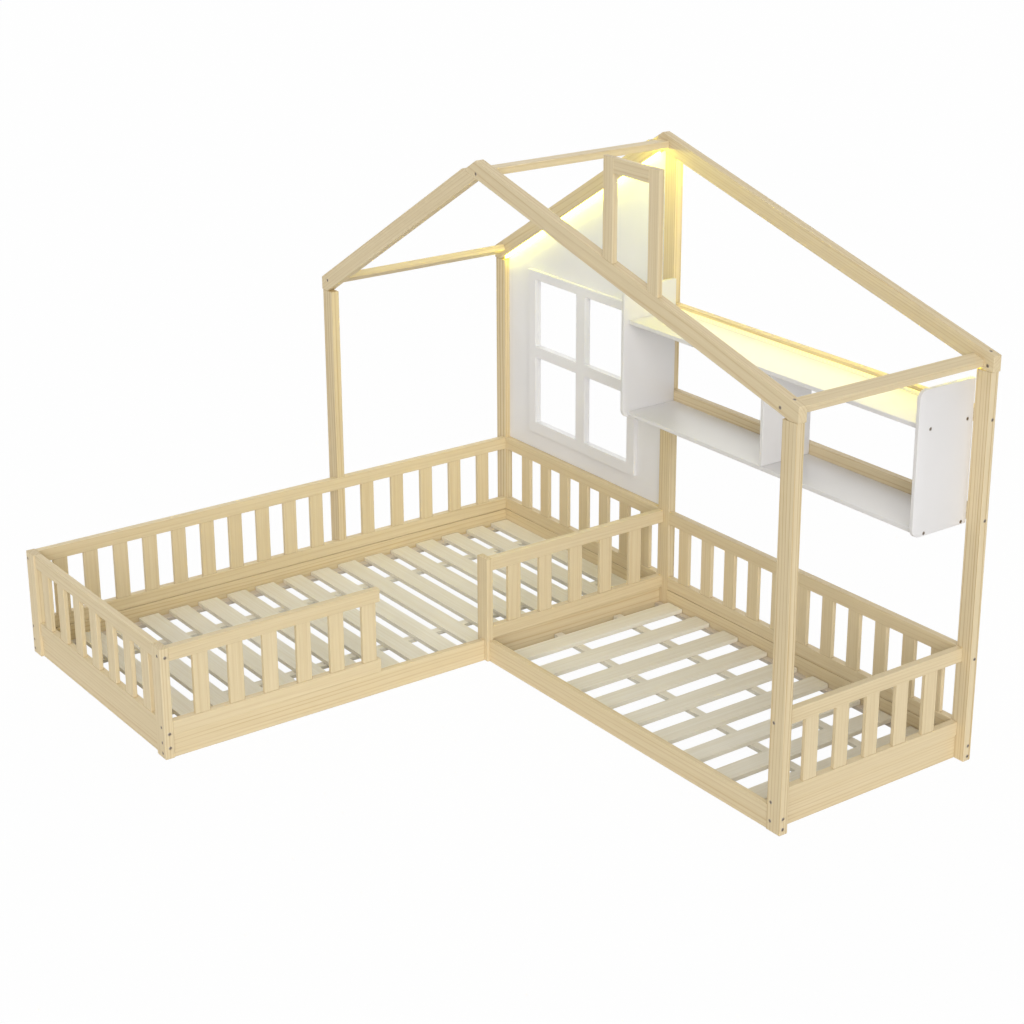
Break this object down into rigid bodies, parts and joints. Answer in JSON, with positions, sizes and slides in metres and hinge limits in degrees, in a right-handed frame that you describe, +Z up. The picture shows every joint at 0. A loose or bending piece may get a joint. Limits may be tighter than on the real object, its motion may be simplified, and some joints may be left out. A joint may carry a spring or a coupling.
{
  "type": "house bed",
  "caption": "Pine house bed: a long fenced side bed joined to a lower fenced bed under an open pitched roof frame, with a window wall, shelf and warm light strips.",
  "frame": {"origin": "on the floor under the middle of the bed's outline", "axes": "+X along the house, from the low eave to the tall right posts; +Y from the front of the side bed to the back; +Z up"},
  "size_m": [2.592, 2.09, 1.925],
  "materials": {
    "pine": "planed and clear varnished, satin",
    "slat_wood": "plain sawn, matt",
    "white_board": "white painted board, satin",
    "light_strip": "frosted diffuser, lit"
  },
  "bodies": {
    "root": {"base_back_house_bed": "pine", "base_back_side_bed": "pine", "base_divider": "pine", "base_end": "pine", "base_entry": "pine", "base_front": "pine", "base_front_house_bed": "pine", "base_left": "pine", "beam_eave_left": "pine", "beam_eave_right": "pine", "beam_ridge": "pine", "chimney_head": "pine", "chimney_left": "pine", "chimney_right": "pine", "fence_back_house_bed": "pine", "fence_back_side_bed": "pine", "fence_divider": "pine", "fence_end": "pine", "fence_entry": "pine", "fence_front": "pine", "fence_left": "pine", "ledge_house_bed_back": "slat_wood", "ledge_house_bed_front": "slat_wood", "ledge_side_bed_left": "slat_wood", "ledge_side_bed_right": "slat_wood", "light_strip_roof": "light_strip", "light_strip_shelf": "light_strip", "post_back_left": "pine", "post_back_middle": "pine", "post_back_right": "pine", "post_corner_left": "pine", "post_corner_right": "pine", "post_entry": "pine", "post_front_left": "pine", "post_front_right": "pine", "rafter_long_back": "pine", "rafter_long_front": "pine", "rafter_short_back": "pine", "rafter_short_front": "pine", "shelf_bottom": "white_board", "shelf_divider": "white_board", "shelf_rail_lower": "pine", "shelf_rail_upper": "pine", "shelf_side_left": "white_board", "shelf_side_right": "white_board", "shelf_top": "white_board", "slats_house_bed": "slat_wood", "slats_side_bed": "slat_wood", "window_frame": "white_board", "window_wall": "white_board"}
  },
  "joints": []
}
